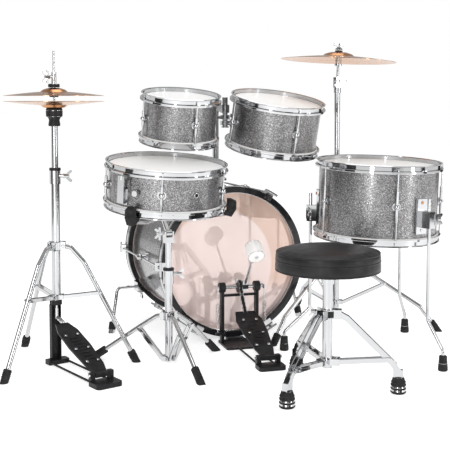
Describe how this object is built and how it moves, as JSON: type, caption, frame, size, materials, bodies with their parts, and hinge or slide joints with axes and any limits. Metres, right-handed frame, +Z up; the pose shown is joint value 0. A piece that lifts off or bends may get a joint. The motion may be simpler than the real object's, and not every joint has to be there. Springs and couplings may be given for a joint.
{
  "type": "acoustic drum kit",
  "caption": "Junior acoustic drum kit: pedal-played bass drum, stand-held snare, mounted toms, legged floor tom, hi-hat pair, crash on a tripod stand and a round throne.",
  "frame": {"origin": "bottom centre of the whole kit's bounding box, on the floor", "axes": "+X towards the drummer's right hand (floor tom and crash side), +Y from the drummer towards the audience, +Z up"},
  "size_m": [1.3393, 1.0706, 0.8749],
  "materials": {
    "flake_wrap": "sparkle flake laminate, gloss",
    "chrome": "polished chrome plate",
    "head_film": "white coated film",
    "bass_film": "smooth pale film",
    "black_gloss": "black lacquer with a silver-grey inlay band",
    "bronze": "lathed bronze",
    "rubber": "moulded rubber",
    "vinyl": "black grained vinyl",
    "steel": "bright steel",
    "black_metal": "black powder coat"
  },
  "bodies": {
    "kit": {"bass_shell": "flake_wrap", "bass_hoops": "black_gloss", "bass_heads": "bass_film", "bass_lugs": "chrome", "bass_tension_rods": "chrome", "bass_brackets": "chrome", "floor_tom_shell": "flake_wrap", "floor_tom_hoops": "chrome", "floor_tom_heads": "head_film", "floor_tom_lugs": "chrome", "stand_tubes": "chrome", "stand_legs": "chrome", "rubber_feet": "rubber", "hihat_frame": "black_metal", "throne_base": "chrome", "kick_frame": "steel", "kick_springs": "steel"},
    "spur_left": {"spur_left": "chrome"},
    "spur_right": {"spur_right": "chrome"},
    "tom_post": {"tom_post": "chrome"},
    "arm_left": {"tom_arm_left": "chrome"},
    "arm_right": {"tom_arm_right": "chrome"},
    "small_tom": {"small_tom_shell": "flake_wrap", "small_tom_hoops": "chrome", "small_tom_heads": "head_film", "small_tom_lugs": "chrome"},
    "mid_tom": {"mid_tom_shell": "flake_wrap", "mid_tom_hoops": "chrome", "mid_tom_heads": "head_film", "mid_tom_lugs": "chrome"},
    "floor_leg_front": {"floor_leg_front": "chrome"},
    "floor_leg_left": {"floor_leg_left": "chrome"},
    "floor_leg_back": {"floor_leg_back": "chrome"},
    "snare_riser": {"snare_riser": "chrome"},
    "snare_drum": {"snare_basket": "chrome", "snare_shell": "flake_wrap", "snare_hoops": "chrome", "snare_heads": "head_film", "snare_lugs": "chrome", "snare_strainer": "chrome"},
    "throwoff": {"throwoff_lever": "chrome"},
    "hihat_riser": {"hihat_riser": "chrome", "hihat_bottom_cymbal": "bronze"},
    "hihat_rod": {"hihat_rod": "steel", "hihat_top_cymbal": "bronze"},
    "hihat_pedal": {"hihat_footboard": "black_metal"},
    "cymbal_riser": {"cymbal_riser": "chrome"},
    "cymbal_tilter": {"cymbal_tilter": "chrome"},
    "crash": {"crash_cymbal": "bronze"},
    "throne_post": {"throne_post": "chrome"},
    "throne_seat": {"throne_seat": "vinyl"},
    "throne_collar": {"throne_collar": "chrome"},
    "throne_leg_right": {"throne_leg_right": "chrome"},
    "throne_leg_left": {"throne_leg_left": "chrome"},
    "throne_leg_front": {"throne_leg_front": "chrome"},
    "throne_brace_right": {"throne_brace_right": "chrome"},
    "throne_brace_left": {"throne_brace_left": "chrome"},
    "throne_brace_front": {"throne_brace_front": "chrome"},
    "kick_pedal": {"kick_footboard": "black_metal"},
    "kick_beater": {"kick_beater": "steel"}
  },
  "joints": [
    {"name": "spur_left_swing", "type": "hinge", "parent": "kit", "child": "spur_left", "pos_m": [-0.1739, 0.3627, 0.132], "axis": [1, 0, 0], "range_deg": [-95, 0]},
    {"name": "spur_right_swing", "type": "hinge", "parent": "kit", "child": "spur_right", "pos_m": [0.2541, 0.3627, 0.132], "axis": [1, 0, 0], "range_deg": [-95, 0]},
    {"name": "tom_post_height", "type": "slide", "parent": "kit", "child": "tom_post", "axis": [0, 0, 1], "range_m": [0, 0.05]},
    {"name": "arm_left_swivel", "type": "hinge", "parent": "tom_post", "child": "arm_left", "pos_m": [0.0421, 0.2087, 0.653], "axis": [0, 0, 1], "range_deg": [-12, 4]},
    {"name": "arm_right_swivel", "type": "hinge", "parent": "tom_post", "child": "arm_right", "pos_m": [0.0421, 0.2087, 0.636], "axis": [0, 0, 1], "range_deg": [-4, 12]},
    {"name": "small_tom_tilt", "type": "hinge", "parent": "arm_left", "child": "small_tom", "pos_m": [-0.1394, 0.093, 0.653], "axis": [0.8432, 0.5375, 0], "range_deg": [-12, 4]},
    {"name": "mid_tom_tilt", "type": "hinge", "parent": "arm_right", "child": "mid_tom", "pos_m": [0.147, 0.0814, 0.636], "axis": [-0.6359, 0.7717, 0], "range_deg": [-8, 8]},
    {"name": "floor_leg_front_slide", "type": "slide", "parent": "kit", "child": "floor_leg_front", "axis": [0, 0, 1], "range_m": [0, 0.1]},
    {"name": "floor_leg_left_slide", "type": "slide", "parent": "kit", "child": "floor_leg_left", "axis": [0, 0, 1], "range_m": [0, 0.1]},
    {"name": "floor_leg_back_slide", "type": "slide", "parent": "kit", "child": "floor_leg_back", "axis": [0, 0, 1], "range_m": [0, 0.1]},
    {"name": "snare_height", "type": "slide", "parent": "kit", "child": "snare_riser", "axis": [0, 0, 1], "range_m": [-0.06, 0]},
    {"name": "snare_tilt", "type": "hinge", "parent": "snare_riser", "child": "snare_drum", "pos_m": [-0.2179, -0.0393, 0.352], "axis": [1, 0, 0], "range_deg": [-6, 1]},
    {"name": "throwoff_swing", "type": "hinge", "parent": "snare_drum", "child": "throwoff", "pos_m": [-0.36364, -0.11207, 0.44959], "axis": [0.4999, -0.8595, -0.1062], "range_deg": [0, 70]},
    {"name": "hihat_height", "type": "slide", "parent": "kit", "child": "hihat_riser", "axis": [0, 0, 1], "range_m": [-0.08, 0]},
    {"name": "hihat_rod_slide", "type": "slide", "parent": "kit", "child": "hihat_rod", "axis": [0, 0, 1], "range_m": [-0.013, 0], "stiffness_N_per_m": 600, "springref_m": 0.05},
    {"name": "hihat_pedal_hinge", "type": "hinge", "parent": "kit", "child": "hihat_pedal", "pos_m": [-0.43336, -0.1549, 0.025], "axis": [0.9646, 0.2639, 0], "range_deg": [-4, 0]},
    {"name": "cymbal_height", "type": "slide", "parent": "kit", "child": "cymbal_riser", "axis": [0, 0, 1], "range_m": [-0.03, 0.08]},
    {"name": "cymbal_tilt", "type": "hinge", "parent": "cymbal_riser", "child": "cymbal_tilter", "pos_m": [0.3951, 0.1647, 0.762], "axis": [0, 1, 0], "range_deg": [-15, 15]},
    {"name": "crash_swing", "type": "hinge", "parent": "cymbal_tilter", "child": "crash", "pos_m": [0.39906, 0.1647, 0.84991], "axis": [1, 0, 0], "range_deg": [-5, 5]},
    {"name": "throne_height", "type": "slide", "parent": "kit", "child": "throne_post", "axis": [0, 0, 1], "range_m": [0, 0.05]},
    {"name": "seat_swivel", "type": "hinge", "parent": "throne_post", "child": "throne_seat", "pos_m": [0.0661, -0.4073, 0.4], "axis": [0, 0, 1], "continuous": true},
    {"name": "throne_collar_slide", "type": "slide", "parent": "kit", "child": "throne_collar", "axis": [0, 0, 1], "range_m": [0, 0.06]},
    {"name": "throne_leg_right_hinge", "type": "hinge", "parent": "throne_collar", "child": "throne_leg_right", "pos_m": [0.08992, -0.42105, 0.189], "axis": [0.5, 0.866, 0], "range_deg": [0, 7]},
    {"name": "throne_brace_right_hinge", "type": "hinge", "parent": "kit", "child": "throne_brace_right", "pos_m": [0.08758, -0.4197, 0.072], "axis": [-0.5, -0.866, 0], "range_deg": [0, 23]},
    {"name": "throne_leg_left_hinge", "type": "hinge", "parent": "throne_collar", "child": "throne_leg_left", "pos_m": [0.04228, -0.42105, 0.189], "axis": [0.5, -0.866, 0], "range_deg": [0, 7]},
    {"name": "throne_brace_left_hinge", "type": "hinge", "parent": "kit", "child": "throne_brace_left", "pos_m": [0.04462, -0.4197, 0.072], "axis": [-0.5, 0.866, 0], "range_deg": [0, 23]},
    {"name": "throne_leg_front_hinge", "type": "hinge", "parent": "throne_collar", "child": "throne_leg_front", "pos_m": [0.0661, -0.3798, 0.189], "axis": [-1, 0, 0], "range_deg": [0, 7]},
    {"name": "throne_brace_front_hinge", "type": "hinge", "parent": "kit", "child": "throne_brace_front", "pos_m": [0.0661, -0.3825, 0.072], "axis": [1, 0, 0], "range_deg": [0, 23]},
    {"name": "kick_beater_swing", "type": "hinge", "parent": "kit", "child": "kick_beater", "pos_m": [0.0401, 0.0907, 0.165], "axis": [-0.9956, 0.0941, 0], "range_deg": [0, 54], "stiffness_Nm_per_rad": 2, "springref_deg": -28.65, "deforming": ["kick_springs"]},
    {"name": "kick_pedal_hinge", "type": "hinge", "parent": "kit", "child": "kick_pedal", "pos_m": [0.01554, -0.16914, 0.025], "axis": [-0.9956, 0.0941, 0], "range_deg": [0, 10.2]}
  ],
  "couplings": [
    {"joint": "hihat_pedal_hinge", "follows": "hihat_rod_slide", "rad_per_m": 5.13},
    {"joint": "kick_pedal_hinge", "follows": "kick_beater_swing", "ratio": 0.185},
    {"joint": "throne_leg_right_hinge", "follows": "throne_collar_slide", "rad_per_m": 1.95},
    {"joint": "throne_brace_right_hinge", "follows": "throne_collar_slide", "rad_per_m": 6.545},
    {"joint": "throne_leg_left_hinge", "follows": "throne_collar_slide", "rad_per_m": 1.95},
    {"joint": "throne_brace_left_hinge", "follows": "throne_collar_slide", "rad_per_m": 6.545},
    {"joint": "throne_leg_front_hinge", "follows": "throne_collar_slide", "rad_per_m": 1.95},
    {"joint": "throne_brace_front_hinge", "follows": "throne_collar_slide", "rad_per_m": 6.545}
  ]
}
